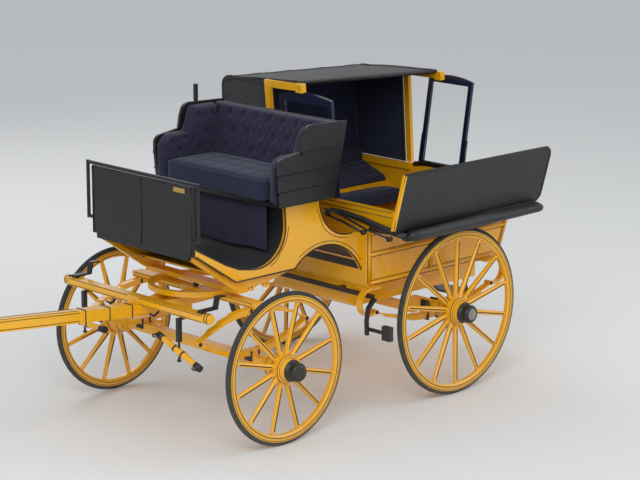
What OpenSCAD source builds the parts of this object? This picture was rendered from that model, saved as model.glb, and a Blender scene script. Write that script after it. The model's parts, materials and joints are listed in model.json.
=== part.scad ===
// Four-wheeled wagonette with a side-folding leather hood, right half raised and left half lowered.
// Millimetres. X points forward, Y to the vehicle's left, Z up; the floor is at Z = 0.

/* [Wheels] */
// Radius of a rear wheel over its tyre
rear_r = 540; // [500:5:560]
// Radius of a front wheel over its tyre
front_r = 466; // [440:2:470]
// Distance between the axles
wheelbase = 1495; // [1480:5:1520]
// Half of the track, to the middle of the tyres
half_track = 790; // [780:5:800]
// Spokes in a front wheel
front_spokes = 12; // [10:2:14]
// Spokes in a rear wheel
rear_spokes = 14; // [12:2:16]

/* [Body] */
// Half width of the lower passenger body
low_w = 500; // [490:5:510]
// Half width at the elbow line
elbow_w = 775; // [770:5:785]
// Height of the elbow line, the top of the passenger body
elbow_z = 1250; // [1240:5:1260]
// Height of the passenger body's lower edge
low_z = 740; // [735:5:745]
// Half width of the boot below the driver
boot_w = 460; // [450:5:470]
// Half width of the driving seat
seat_w = 565; // [560:5:570]

/* [Running gear] */
// Half length of the splinter bar
splinter_w = 664; // [650:2:680]
// Length of the pole from its socket
pole_len = 2600; // [2400:50:2700]
// Distance of the springs from the middle
spring_y = 555; // [545:5:560]

/* [Hidden] */
$fn = 48;
gap = 0.6;                  // air between neighbouring pieces
wall = 22;                  // body panels
body_front = 530;           // front face of the passenger body
body_rear = -700;           // rear face of the passenger body
well_w = 340;               // half width of the foot well
well_z = 570;               // underside of the foot well
roof_z = 1950;              // top of the hood at the middle
pole_rise = 5.3;            // upward slope of the pole, degrees
pole_x = 1900;              // rear end of the pole, in its socket
pole_z = 757;               // height of the pole's middle there
axle_r = 25;                // axle arms
bore_clear = 0.06;          // running fit of a nave on its arm
step_rear = -905;           // rearmost edge of the rear step
pole_tip = pole_x + pole_len * cos(pole_rise) + 45;
origin_x = (pole_tip + step_rear) / 2;
origin_y = (956 - half_track - 130) / 2;
sides = [["left", 1], ["right", -1]];

yellow = [0.93, 0.62, 0.03];
black = [0.05, 0.05, 0.05];
blue = [0.07, 0.07, 0.16];

// ---- helpers ----
// An outline in X and Z, extruded from y0 to y1
module plate(points, y0, y1) {
    translate([0, y1, 0]) rotate([90, 0, 0]) linear_extrude(y1 - y0) polygon(points);
}
// An outline in Y and Z, extruded from x0 to x1
module bulkhead(points, x0, x1) {
    translate([x0, 0, 0]) rotate([90, 0, 90]) linear_extrude(x1 - x0) polygon(points);
}
module both() { children(); mirror([0, 1, 0]) children(); }
// A box from its two corners
module block(a, b) { translate(a) cube([for (i = [0:2]) b[i] - a[i]]); }
// A round bar between two points
module bar(a, b, r, r2 = 0) {
    d = b - a;
    translate(a) rotate([0, acos(d[2] / norm(d)), atan2(d[1], d[0])])
        cylinder(h = norm(d), r1 = r, r2 = r2 == 0 ? r : r2);
}
// A bent round bar through several points
module bent(points, r) {
    for (i = [0:len(points) - 2]) bar(points[i], points[i + 1], r);
    for (i = [1:len(points) - 2]) translate(points[i]) sphere(r);
}
// Points of an arc in two dimensions
function arc(c, r, a0, a1, n = 12) =
    [for (i = [0:n]) c + r * [cos(a0 + (a1 - a0) * i / n), sin(a0 + (a1 - a0) * i / n)]];
function flip(p) = [for (i = [len(p) - 1:-1:0]) p[i]];
// Half of a spring: the longest leaf inside the bow, shorter ones outside it
module leaves(half, rise, n, t = 9) {
    r = (half * half + rise * rise) / (2 * rise);
    translate([0, rise - r]) for (i = [0:n - 1]) intersection() {
        difference() { circle(r + t * (i + 1), $fn = 180); circle(r + t * i, $fn = 180); }
        let (w = half * (1 - 0.2 * i), a = asin(w / r)) polygon([[0, 0], 2 * r * [sin(a), cos(a)],
            3 * r * [0, 1], 2 * r * [-sin(a), cos(a)]]);
    }
}

// ---- wheels ----
module tyre(x, s, r) color([0.12, 0.12, 0.12]) translate([x, s * half_track, r]) rotate([90, 0, 0])
    rotate_extrude($fn = 96) polygon(concat([[r - 24, -17]], arc([r - 15, 0], 15, -70, 70, 8), [[r - 24, 17]]));
module rim(x, s, r) color(yellow) translate([x, s * half_track, r]) rotate([90, 0, 0])
    rotate_extrude($fn = 96) polygon([[r - 24.3, -20], [r - 24.3, 20], [r - 55, 22], [r - 66, 12],
        [r - 66, -12], [r - 55, -22]]);
// Twelve or fourteen spokes tenoned in the nave, with its band and cap
module spokes(x, s, r, count) color(yellow) translate([x, s * half_track, r])
    rotate([-90 * s, 0, 0]) difference() {
        union() {
            rotate_extrude() polygon([[0, -130], [62, -130], [70, -100], [78, -40], [84, -38], [84, 26],
                [72, 30], [64, 62], [52, 64], [52, 122], [46, 130], [0, 130]]);
            for (i = [0:count - 1]) rotate([0, 0, 360 * (i + 0.5) / count])
                translate([70, 0, -14]) rotate([0, 90 - 1.8, 0]) scale([1, 1, 1])
                    cylinder(h = r - 66 - 71, r1 = 19, r2 = 13.5, $fn = 20);
        }
        translate([0, 0, -131]) cylinder(h = 221, r = axle_r + bore_clear);
    }
module axle(x, r) {
    both() translate([x, 0, r]) rotate([-90, 0, 0]) {
        translate([0, 0, half_track - 134]) cylinder(h = 214, r = axle_r);
        translate([0, 0, half_track - 160]) cylinder(h = 26, r = 46);
    }
    block([x - 28, 160 - half_track, r - 28], [x + 28, half_track - 160, r + 28]);
}

// ---- boot, footboard and driving seat ----
arch_x = 850;      // middle of the wheel arch
arch_z = 700;      // centre of the arch
arch_r = 350;      // radius of the arch
seat_z = 1340;     // underside of the driving seat
curve_c = [1400, 1220];   // centre of the boot's swept front
curve_r = 224;            // and its radius
function arch(c, r, a0, a1) = arc(c, r, a0, a1, 16);
boot_side = concat([[body_front + gap, 1078]], arc([645, 1340], 250, -100, -2, 14), [[895, seat_z - gap],
    [1184, seat_z - gap]], arc(curve_c, curve_r, 180, 270, 16), [[1455, 1000], [1557, 1018], [1660, 1062], [1895, 1192],
    [1895, 1150], [1580, 943]], arch([arch_x, arch_z], arch_r, 44, 155), [[body_front + gap, 835]]);
module boot() color(yellow) {
    both() plate(boot_side, boot_w - wall, boot_w);
    plate(concat(arc([arch_x, arch_z], arch_r + 24, 145, 52, 16), arc([arch_x, arch_z], arch_r + 5, 52, 145, 16)),
        5 - boot_w, boot_w - 5);
    block([1104, 5 - boot_w, 946], [1572, boot_w - 5, 958]);
    block([body_front + 6, 5 - boot_w, 900], [body_front + 24, boot_w - 5, 1066]);
    block([888, 5 - boot_w, seat_z - 20], [1150, boot_w - 5, seat_z - 4]);
}
foot_top = concat([[1185, 1318]], arc(curve_c, curve_r, 182, 270, 16), [[1453, 997], [1557, 1014], [1660, 1057], [1893, 1186]]);
foot_low = [[1893, 1163], [1668, 1038], [1560, 993], [1453, 977]];
module footboard() color(black) plate(concat(foot_top, foot_low, arc(curve_c, curve_r + 20, 270, 182, 16), [[1165, 1318]]),
    wall + gap - boot_w, boot_w - wall - gap);
module toe_brackets() color(yellow) {
    both() plate([[1130, 943], [1130, 925], [1290, 890], [1440, 884], [1560, 884], [1895, 1118], [1895, 1148], [1583, 943]],
        395, 425);
    for (x = [1300, 1420]) both() translate([x, 412, 880]) rotate([90, 0, 0]) difference() {
        cylinder(h = 24, r = 24, center = true);
        cylinder(h = 30, r = 9, center = true);
    }
}
dash_x = 1910;
module dash() color(black) {
    block([dash_x - 12, -458, 1150], [dash_x + 8, 458, 1565]);
    for (z = [1245, 1580]) bar([dash_x, -505, z], [dash_x, 505, z], 11);
    both() bar([dash_x, 505, 1234], [dash_x, 505, 1591], 11);
    block([dash_x - 14, -420, 1122], [dash_x + 10, 420, 1150]);
}
// The end panel of the driving seat, low in front and high behind
end_outline = concat([[868, 1370], [1325, 1372], [1346, 1560]], arc([1296, 1612], 50, 0, 80, 6), [[1150, 1684]],
    [[1132, 1775]], arc([1062, 1772], 66, 5, 90, 8), [[762, 1828]]);
module seat_ends() color(black) both() {
    plate(end_outline, seat_w - 20, seat_w);
    for (z = [[1452, 862, 1330], [1553, 840, 1340], [1672, 808, 1150]])
        block([z[1], seat_w, z[0] - 6], [z[2], seat_w + 12, z[0] + 6]);
}
module seat_back() color(black) {
    plate([[850, 1386], [870, 1386], [784, 1816], [762, 1816]], 20 + gap - seat_w, seat_w - 20 - gap);
    block([850, 20 + gap - seat_w, 1364], [1320, seat_w - 20 - gap, 1386]);
    block([880, -480, seat_z], [1240, 480, 1364]);
}
module driver_cushion() color(blue) block([958, -445, 1386.5], [1352, 445, 1535]);
module driver_squab() color(blue) {
    plate([[871, 1387], [957, 1387], [872, 1818], [785, 1818]], -543, 543);
    both() plate([[958, 1387], [1310, 1387], [1328, 1560], [1290, 1645], [1145, 1664], [1120, 1765],
        [1050, 1812], [874, 1812]], 447, 543);
}
module seat_fall() color(blue) plate([[1262, 1072], [1268, 1072], [1268, 1363], [1262, 1363]], -388, 388);

// ---- passenger body ----
side_profile = [[low_w - wall, low_z], [low_w, low_z], [low_w, 1080], [elbow_w, 1160], [elbow_w, elbow_z - 46],
    [elbow_w - wall, elbow_z - 46], [elbow_w - wall, 1178], [low_w - wall, 1100]];
side_cut = [[body_front - 18, 730], [body_front - 18, 1300], [-700, 1300], [-855, 1130], [-690, 730]];
module side_panels() color(yellow) both() intersection() {
    bulkhead(side_profile, -900, body_front - 18);
    plate(side_cut, 0, 900);
}
end_shape = [[low_w, low_z], [low_w, 1080], [elbow_w, 1160], [elbow_w, elbow_z - 46], [-elbow_w, elbow_z - 46],
    [-elbow_w, 1160], [-low_w, 1080], [-low_w, low_z]];
door_w = 262;      // half width of the door opening
rear_post = [[door_w, low_z], [low_w - wall - gap, low_z], [low_w - wall - gap, 1102],
    [740, 1178], [elbow_w - wall - gap, 1186], [elbow_w - wall - gap, elbow_z - 46], [door_w, elbow_z - 46]];
module end_panels() color(yellow) {
    bulkhead(end_shape, body_front - 17, body_front);
    both() bulkhead(rear_post, body_rear, body_rear + 20);
}
module foot_well() color(yellow) {
    both() plate([[body_front - 8, low_z - 1], [body_front - 8, 600], [470, well_z], [-672, well_z], [-672, low_z - 1]],
        well_w - 18, well_w);
    plate([[body_front - 26, 618], [body_front - 8, 600], [body_front - 8, low_z - 1], [body_front - 26, low_z - 1]],
        18 - well_w, well_w - 18);
    plate([[body_front - 26, 618], [body_front - 8, 600], [470, well_z], [-672, well_z], [-672, well_z + 18],
        [462, well_z + 18]], 18 - well_w, well_w - 18);
    both() block([-672, well_w, low_z - 25], [body_front - 8, low_w - wall - 2, low_z - 1]);
}
module passenger_floor() color(black) block([-670, 18.5 - well_w, well_z + 18], [455, well_w - 18.5, well_z + 24]);
module elbow_rails() color(yellow) {
    both() block([body_rear, elbow_w - 50, elbow_z - 45], [body_front, elbow_w + 8, elbow_z]);
    block([body_front - 40, 51 - elbow_w, elbow_z - 45], [body_front, elbow_w - 51, elbow_z]);
    both() block([body_rear, door_w, elbow_z - 45], [body_rear + 40, elbow_w - 51, elbow_z]);
}
module bench_cushions() color(blue) both() block([-660, 300, 980], [490, 470, 1085]);
module bench_squabs() color(blue) both() {
    plate([[-655, 1200], [485, 1200], [485, 1240], [-655, 1240]], 690, 722);
    bulkhead([[474, 1104], [700, 1182], [700, 1199], [474, 1150]], -655, 485);
}

// ---- glasses and hood ----
glass_w = 235;     // half width of a glass frame
module bulkhead_frame(x0, x1, z0, z1, half, band) translate([x0, 0, 0]) rotate([90, 0, 90])
    linear_extrude(x1 - x0) difference() {
        polygon(concat([[half, z0], [half, z1]], [for (i = [1:7]) [half - i * half / 4, z1 + 26 * (1 - pow(1 - i / 4, 2))]],
            [[-half, z1], [-half, z0]]));
        polygon([[half - band, z0 + band], [half - band, z1 - band], [band - half, z1 - band], [band - half, z0 + band]]);
    }
// Leans the upper works about the elbow line
front_lean = 5.6;
rear_lean = 4;
module lean(x, a) translate([x, 0, elbow_z]) rotate([0, a, 0]) translate([-x, 0, -elbow_z]) children();
module front_glass_frame() color(blue) lean(body_front, front_lean) bulkhead_frame(body_front - 38, body_front - 14, elbow_z + 6, 1880, glass_w, 42);
// Right half of the hood: roof, side and front and rear quarters of leather over the sticks
roof_slope = 2.9;  // the roof falls towards the rear
roof_profile = concat([[-10, 1968], [-10, 1954], [-400, 1936], [-685, 1912], [-744, 1857], [-753, 1802], [-767, 1802]],
    [[-762, 1862]], arc([-692, 1864], 66, 175, 98, 8), [[-400, 1952]]);
quarter = [[-750, elbow_z + 4], [-756, 1560], [-750, 1815], [-690, 1885], [-400, 1908], [-322, 1910], [-322, 1290],
    [-350, elbow_z + 4]];
hood_long = [[body_rear + 12, elbow_z + 1], [body_front - 12, elbow_z + 1], [body_front + 44, 1852], [-655, 1790]];
module hood_right() color(black) {
    rotate([0, -roof_slope, 0]) bulkhead(roof_profile, -560, 690);
    plate(hood_long, -774, -757);
    lean(body_front, front_lean) bulkhead(quarter, body_front - 11, body_front);
    lean(body_rear, rear_lean) bulkhead([for (q = quarter) [q[0], q[1] - (q[1] > 1700 ? 42 : 0)]], body_rear + 9, body_rear + 20);
}
module pillar_pair(x, top) {
    block([x, -320, elbow_z + 3], [x + 28, -276, top]);
    bulkhead([[-276, top - 44], [-27, top - 40], [-27, top + 4], [-276, top]], x, x + 28);
    difference() {
        block([x - 6, -28, top - 48], [x + 34, 28, top + 8]);
        translate([x - 10, 4, top - 20]) rotate([0, 90, 0]) cylinder(h = 50, r = 10);
    }
}
module hood_right_pillars() color(yellow) {
    lean(body_front, front_lean) pillar_pair(body_front + 1, 1966);
    lean(body_rear, rear_lean) pillar_pair(body_rear - 22, 1902);
}
// Left half, lowered: the stiff roof panel stands outside the elbow with the leather gathered under it
fold_rear = -700;
fold_front = 640;
fold_panel = [[842, 1166], [858, 1166], [956, 1528], [940, 1532]];
fold_leather = [[715, 1110], [770, 1090], [860, 1084], [925, 1108], [938, 1140], [905, 1165], [790, 1165], [785, 1150], [784, 1120]];
module hood_left_folded() color(black) {
    bulkhead(fold_panel, fold_rear, fold_front);
    bulkhead(fold_leather, fold_rear + 20, fold_front - 90);
}
module hood_left_pillars() color(yellow)
    bulkhead([[836, 1170], [858, 1170], [956, 1530], [934, 1530]], fold_front, fold_front + 18);
module hood_irons() color(black) both() {
    bar([body_front, 560, 1120], [body_front + 26, 560, 1120], 12);
    block([body_front + 26, 552, 1112], [body_front + 34, 720, 1128]);
}

// ---- rear door ----
hinge_x = body_rear - 16;
hinge_y = -262;
hinge_z = [790, 1080];
pin_r = 4;
module rear_door() color(yellow) difference() {
    union() {
        block([body_rear - 8, 5 - door_w, 592], [body_rear + 24, door_w - 5, elbow_z - 4]);
        for (z = hinge_z) {
            translate([hinge_x, hinge_y, z + 40.5]) cylinder(h = 39, r = 8);
            block([hinge_x + 2, hinge_y, z + 40.5], [hinge_x + 8, hinge_y + 60, z + 79.5]);
        }
    }
    for (z = hinge_z) translate([hinge_x, hinge_y, z]) cylinder(h = 100, r = pin_r + bore_clear);
}
module door_hinges() color(black) for (z = hinge_z) {
    translate([hinge_x, hinge_y, z]) cylinder(h = 40, r = 8);
    translate([hinge_x, hinge_y, z + 40]) cylinder(h = 42, r = pin_r);
    block([hinge_x + 2, hinge_y - 50, z], [hinge_x + 16, hinge_y, z + 40]);
}
glass_lean = -9;   // the door's glass leans outwards
module door_glass_frame() color(blue) lean(body_rear + 10, glass_lean)
    bulkhead_frame(body_rear, body_rear + 20, elbow_z, 1850, 195, 32);
module door_handle() color([0.75, 0.75, 0.75]) {
    bar([body_rear - 8, 205, 1130], [body_rear - 46, 205, 1130], 8);
    bar([body_rear - 40, 215, 1130], [body_rear - 40, 130, 1130], 7);
}
module rear_step() color(black) {
    both() plate([[-540, well_z], [-700, well_z], [-765, 550], [-818, 388], [-802, 388], [-753, 538],
        [-696, well_z - 12], [-540, well_z - 12]], 140, 162);
    block([step_rear, -190, 372], [-755, 190, 388]);
}

// ---- rear gear ----
drop_y = 430;      // the axle drops between these to clear the well
module rear_axle() color(yellow) {
    both() translate([0, 0, rear_r]) rotate([-90, 0, 0]) {
        translate([0, 0, half_track - 134]) cylinder(h = 214, r = axle_r);
        translate([0, 0, half_track - 160]) cylinder(h = 28, r = 46);
    }
    both() block([-28, drop_y, rear_r - 28], [28, half_track - 160, rear_r + 28]);
    both() block([-28, drop_y - 30, 462], [28, drop_y, rear_r + 28]);
    block([-28, 30 - drop_y, 462], [28, drop_y - 30, 512]);
}
eye_z = 583;
spring_half = 535;
module scroll(x, s) translate([x, 0, 655]) mirror([s < 0 ? 1 : 0, 0, 0]) {
    plate(concat(arc([0, 0], 92, -125, 90, 20), arc([0, 0], 74, 90, -125, 20)), spring_y - 20, spring_y + 20);
    block([-90, low_w - wall, 74], [10, spring_y + 20, 85]);
}
module rear_springs() color(yellow) both() {
    translate([-30, 0, 0]) {
        translate([0, spring_y + 23, eye_z]) mirror([0, 0, 1]) rotate([90, 0, 0])
            linear_extrude(46) leaves(spring_half, 92, 4);
        block([-30, spring_y - 30, eye_z - 97], [90, spring_y + 30, rear_r - 28]);
        for (x = [-spring_half, spring_half]) translate([x, spring_y + 23, eye_z]) rotate([90, 0, 0])
            cylinder(h = 46, r = 15);
    }
    scroll(555, 1);
    scroll(-615, -1);
}
module brake_gear() color(black) {
    block([560, -610, 688], [588, 610, 712]);
    both() {
        plate([[560, 688], [588, 700], [640, 640], [652, 560], [648, 470], [630, 470], [634, 560], [622, 630]], 610, 634);
        bar([622, 622, 505], [622, 745, 505], 12);
        block([604, 745, 462], [636, 815, 552]);
    }
    both() block([522, 290, 688], [560, 320, 712]);
}
module brake_lever() color(black) {
    plate([[566, 712], [584, 712], [962, 1296], [964, 1840], [944, 1840], [944, 1302]], -612, -600);
    translate([954, -606, 1832]) cylinder(h = 103, r = 15);
}

// ---- forecarriage ----
module ring(z0, z1, r0, r1) translate([wheelbase, 0, z0]) difference() {
    cylinder(h = z1 - z0, r = r1, $fn = 96);
    translate([0, 0, -1]) cylinder(h = z1 - z0 + 2, r = r0, $fn = 96);
}
bed_z = 790;       // underside of the lower bed
module upper_bed() color(yellow) {
    block([wheelbase - 40, -425, 856], [wheelbase + 40, 425, 884]);
    ring(840.6, 856, 258, 292);
}
module kingpin() color(black) translate([wheelbase, 0, 0]) {
    translate([0, 0, 772]) cylinder(h = 84, r = 16);
    translate([0, 0, 772]) cylinder(h = 12, r = 26);
}
module turntable_ring() color(yellow) ring(824, 840, 258, 292);
module kingpin_bed() color(yellow) difference() {
    block([wheelbase - 38, -560, bed_z], [wheelbase + 38, 560, 824]);
    translate([wheelbase, 0, bed_z - 1]) cylinder(h = 40, r = 16 + bore_clear);
}
module front_axle() color(yellow) axle(wheelbase, front_r);
front_spring_y = 505;
front_eye = (bed_z + front_r + 28) / 2;
module front_springs() color(yellow) both() translate([wheelbase, front_spring_y + 23, front_eye]) {
    for (m = [0, 1]) mirror([0, 0, m]) {
        rotate([90, 0, 0]) linear_extrude(46) leaves(430, bed_z - front_eye - 38, 4);
        block([-38, -50, bed_z - front_eye - 12], [38, 4, bed_z - front_eye]);
    }
    for (x = [-1, 1]) translate([430 * x, 0, 0]) rotate([90, 0, 0]) cylinder(h = 46, r = 16);
}
module futchells() color(yellow) both() plate([[1215, 748], [1215, bed_z], [1545, bed_z], [1932, 803], [1992, 803],
    [1992, 752], [1545, 742]], 40, 78);
module splinter_bar() color(yellow) {
    block([1932, 30 - splinter_w, 803], [1992, splinter_w - 30, 850]);
    both() translate([1962, splinter_w - 30, 826.5]) rotate([-90, 0, 0]) cylinder(h = 30, r = 30);
}
module step_treads() color(black) both() {
    plate([[1946, 850], [1978, 850], [1978, 868], [1860, 868], [1845, 930], [1790, 930], [1790, 922], [1838, 922],
        [1852, 856], [1946, 856]], splinter_w - 100, splinter_w - 60);
}
tree_x = 2012;     // pivots of the swingletrees
tree_y = 440;
tree_z = 600;
module hanger(s) {
    block([1950, s * tree_y - 12, 791], [tree_x + 14, s * tree_y + 12, 802.4]);
    block([tree_x - 14, s * tree_y - 12, 660], [tree_x + 14, s * tree_y + 12, 791]);
    translate([tree_x, s * tree_y, tree_z - 60]) cylinder(h = 130, r = 7);
    translate([tree_x, s * tree_y, tree_z - 60]) cylinder(h = 10, r = 13);
}
module swingletree_hangers() color(black) { hanger(1); hanger(-1); }
module swingletree(s, tilt) color(yellow) translate([tree_x, s * tree_y, tree_z]) difference() {
    rotate([tilt, 0, 0]) {
        for (m = [0, 1]) mirror([0, m, 0]) rotate([90, 0, 0]) translate([0, 0, -197]) cylinder(h = 198, r1 = 15, r2 = 22);
        both() translate([0, 196, 0]) rotate([90, 0, 0]) cylinder(h = 26, r = 19);
    }
    translate([0, 0, -60]) cylinder(h = 120, r = 7 + bore_clear);
}
module left_swingletree() swingletree(1, -20);
module right_swingletree() swingletree(-1, -2);
module pole() color(yellow) translate([pole_x, 0, pole_z]) rotate([0, -pole_rise, 0]) {
    block([-340, -40, -36], [500, 40, 36]);
    block([500, -36, -36], [pole_len, 36, 36]);
}
module pole_head() color(black) translate([pole_x, 0, pole_z]) rotate([0, -pole_rise, 0])
    translate([pole_len, 0, 0]) rotate([0, 90, 0]) cylinder(h = 45, r = 30);

module place() translate([-origin_x, -origin_y, 0]) children();

place() boot();
place() footboard();
place() toe_brackets();
place() dash();
place() seat_ends();
place() seat_back();
place() driver_cushion();
place() driver_squab();
place() seat_fall();
place() side_panels();
place() end_panels();
place() foot_well();
place() passenger_floor();
place() elbow_rails();
place() bench_cushions();
place() bench_squabs();
place() front_glass_frame();
place() hood_right();
place() hood_right_pillars();
place() hood_left_folded();
place() hood_left_pillars();
place() hood_irons();
place() rear_door();
place() door_glass_frame();
place() door_handle();
place() rear_step();
place() rear_axle();
place() rear_springs();
place() door_hinges();
place() kingpin();
place() brake_gear();
place() brake_lever();
place() upper_bed();
place() turntable_ring();
place() kingpin_bed();
place() front_axle();
place() front_springs();
place() futchells();
place() splinter_bar();
place() step_treads();
place() left_swingletree();
place() right_swingletree();
place() swingletree_hangers();
place() pole();
place() pole_head();
for (w = [["front_left", wheelbase, 1, front_r, front_spokes], ["front_right", wheelbase, -1, front_r, front_spokes],
        ["rear_left", 0, 1, rear_r, rear_spokes], ["rear_right", 0, -1, rear_r, rear_spokes]]) {
    place() tyre(w[1], w[2], w[3]);
    place() rim(w[1], w[2], w[3]);
    place() spokes(w[1], w[2], w[3], w[4]);
}
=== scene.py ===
# %% [markdown]
# # A horse drawn wagonette
# The frame comes from the CAD model: every wooden, iron and leather panel is already there at its
# real size. This script adds what CAD leaves out: stuffing, folds, stitching, lining and finishes.

# %% Load the frame
import json
import math

import bmesh
import bpy
from mathutils import Matrix, Vector


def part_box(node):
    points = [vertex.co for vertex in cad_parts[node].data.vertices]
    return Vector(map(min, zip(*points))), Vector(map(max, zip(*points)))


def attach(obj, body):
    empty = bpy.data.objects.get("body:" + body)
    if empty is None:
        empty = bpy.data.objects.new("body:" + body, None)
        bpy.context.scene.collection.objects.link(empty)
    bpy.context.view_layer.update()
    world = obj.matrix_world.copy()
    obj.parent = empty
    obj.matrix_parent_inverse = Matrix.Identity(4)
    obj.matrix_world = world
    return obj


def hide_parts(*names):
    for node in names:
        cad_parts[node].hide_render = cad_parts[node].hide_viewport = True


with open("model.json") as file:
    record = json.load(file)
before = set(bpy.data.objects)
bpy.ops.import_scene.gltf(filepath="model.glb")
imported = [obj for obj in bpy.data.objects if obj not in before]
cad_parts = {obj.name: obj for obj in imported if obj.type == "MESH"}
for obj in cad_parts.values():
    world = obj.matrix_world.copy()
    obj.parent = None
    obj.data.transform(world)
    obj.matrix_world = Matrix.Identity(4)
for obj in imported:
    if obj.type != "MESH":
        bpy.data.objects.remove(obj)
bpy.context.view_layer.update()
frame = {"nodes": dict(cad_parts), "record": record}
scene = bpy.context.scene
print("CAD nodes:", len(frame["nodes"]))

# %% [markdown]
# The drawing of the carriage counts X from the rear axle and Y from its middle line, but the CAD
# frame is centred on the whole vehicle. The boxes of two wheels give the shift between the two.

# %% Drawing coordinates
near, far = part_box("rear_left_tyre"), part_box("rear_right_tyre")
AXLE_X = (near[0][0] + near[1][0]) / 2
MIDDLE_Y = (near[0][1] + far[1][1]) / 2


def at(x, y, z):
    """A point of the drawing as a point of the frame."""
    return Vector((x + AXLE_X, y + MIDDLE_Y, z))


FRONT_AXLE_X = 1.495
ELBOW_Z = 1.250
HOOD_RISE = 0.722
print("rear axle at", round(AXLE_X, 4), "middle at", round(MIDDLE_Y, 4))

# %% [markdown]
# ## Shader groups
# Real finishes share a few effects: dust that gathers low down, slow changes of tone, a fine grain.
# Each effect is one node group with named sockets, used by every material with its own numbers.


# %% Helpers for shader groups
def fill(tree, node, values):
    """Gives inputs, by name or number, plain values or links from other nodes' outputs."""
    for key, value in dict(values).items():
        if isinstance(value, bpy.types.NodeSocket):
            tree.links.new(value, node.inputs[key])
        else:
            node.inputs[key].default_value = value
    return node


def add(tree, kind, values=(), **props):
    """A new node with its properties set and its inputs filled."""
    node = tree.nodes.new(kind)
    for key, value in props.items():
        setattr(node, key, value)
    return fill(tree, node, values)


def new_group(name, inputs, outputs):
    """A shader group with sockets (name, kind, default), and the outputs of its input node."""
    tree = bpy.data.node_groups.new(name, "ShaderNodeTree")
    kinds = {"value": "NodeSocketFloat", "colour": "NodeSocketColor", "vector": "NodeSocketVector"}
    for label, kind, default in inputs:
        socket = tree.interface.new_socket(label, in_out="INPUT", socket_type=kinds[kind])
        socket.default_value = default
    for label, kind in outputs:
        tree.interface.new_socket(label, in_out="OUTPUT", socket_type=kinds[kind])
    return tree, tree.nodes.new("NodeGroupInput").outputs


def times(tree, a, b):
    """The product of two values."""
    return add(tree, "ShaderNodeMath", {0: a, 1: b}, operation="MULTIPLY").outputs[0]


# %% Tone: slow changes of colour and dust near the ground
DUST_COLOUR = (0.30, 0.27, 0.22, 1)
tone, given = new_group(
    "tone and dust",
    [("Colour", "colour", (1, 1, 1, 1)), ("Change", "value", 0.1), ("Patch", "value", 3.0),
     ("Dust", "value", 0.2), ("Dust height", "value", 0.6)],
    [("Colour", "colour"), ("Mask", "value")])
place = add(tone, "ShaderNodeTexCoord").outputs["Object"]
slow = add(tone, "ShaderNodeTexNoise",
           {"Vector": place, "Scale": given["Patch"], "Detail": 5.0, "Roughness": 0.6})
swing = add(tone, "ShaderNodeMapRange", {0: slow.outputs["Fac"], 1: 0.3, 2: 0.7, 3: -1.0, 4: 1.0})
gain = add(tone, "ShaderNodeMath", {0: times(tone, swing.outputs[0], given["Change"]), 1: 1.0},
           operation="ADD")
scaled = add(tone, "ShaderNodeVectorMath", {0: given["Colour"], "Scale": gain.outputs[0]},
             operation="SCALE")
apart = add(tone, "ShaderNodeSeparateXYZ", {0: place})
low = add(tone, "ShaderNodeMapRange",
          {0: apart.outputs["Z"], 1: 0.0, 2: given["Dust height"], 3: 1.0, 4: 0.0})
specks = add(tone, "ShaderNodeTexNoise",
             {"Vector": place, "Scale": 38.0, "Detail": 8.0, "Roughness": 0.7})
lifted = add(tone, "ShaderNodeMapRange",
             {0: specks.outputs["Fac"], 1: 0.35, 2: 0.75, 3: 0.15, 4: 1.0})
mask = times(tone, times(tone, low.outputs[0], lifted.outputs[0]), given["Dust"])
dusted = add(tone, "ShaderNodeMix", {0: mask, 6: scaled.outputs[0], 7: DUST_COLOUR},
             data_type="RGBA", blend_type="MIX")
add(tone, "NodeGroupOutput", {"Colour": dusted.outputs[2], "Mask": mask})

# %% Grain: a fine relief, either pebbled like hide or streaky like wood under paint
grain, given = new_group(
    "grain",
    [("Scale", "value", 300.0), ("Stretch", "vector", (1, 1, 1)), ("Strength", "value", 0.1),
     ("Distance", "value", 0.001), ("Cells", "value", 0.0)],
    [("Normal", "vector"), ("Height", "value")])
place = add(grain, "ShaderNodeTexCoord").outputs["Object"]
stretch = add(grain, "ShaderNodeVectorMath", {0: place, 1: given["Stretch"]},
              operation="MULTIPLY").outputs[0]
fine = add(grain, "ShaderNodeTexNoise",
           {"Vector": stretch, "Scale": given["Scale"], "Detail": 4.0, "Roughness": 0.65})
cells = add(grain, "ShaderNodeTexVoronoi", {"Vector": stretch, "Scale": given["Scale"]},
            feature="SMOOTH_F1")
either = add(grain, "ShaderNodeMix",
             {0: given["Cells"], 2: fine.outputs["Fac"], 3: cells.outputs["Distance"]},
             data_type="FLOAT").outputs[0]
bump = add(grain, "ShaderNodeBump", {"Height": either, "Strength": given["Strength"],
                                     "Distance": given["Distance"]})
add(grain, "NodeGroupOutput", {"Normal": bump.outputs[0], "Height": either})

# %% Weave: two crossing sets of threads
THREAD_LINES = ((0.6, 0.4, 1.0), (1.0, -0.7, 0.35))
weave, given = new_group(
    "weave", [("Threads", "value", 700.0), ("Strength", "value", 0.3)],
    [("Normal", "vector"), ("Height", "value")])
place = add(weave, "ShaderNodeTexCoord").outputs["Object"]
waves = []
for line in THREAD_LINES:
    across = add(weave, "ShaderNodeVectorMath", {0: place, 1: line}, operation="DOT_PRODUCT")
    count = times(weave, across.outputs["Value"], given["Threads"])
    waves.append(add(weave, "ShaderNodeMath", {0: count}, operation="SINE").outputs[0])
over = times(weave, *waves)
bump = add(weave, "ShaderNodeBump", {"Height": over, "Strength": given["Strength"],
                                     "Distance": 0.0006})
add(weave, "NodeGroupOutput", {"Normal": bump.outputs[0], "Height": over})
print("shader groups:", [g.name for g in bpy.data.node_groups])

# %% [markdown]
# ## Finishes
# One maker's function lays the groups into a Principled material. Coach enamel is glossy and varies
# little; leather has pebbled cells; cloth has threads and some sheen; iron is painted black.


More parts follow.
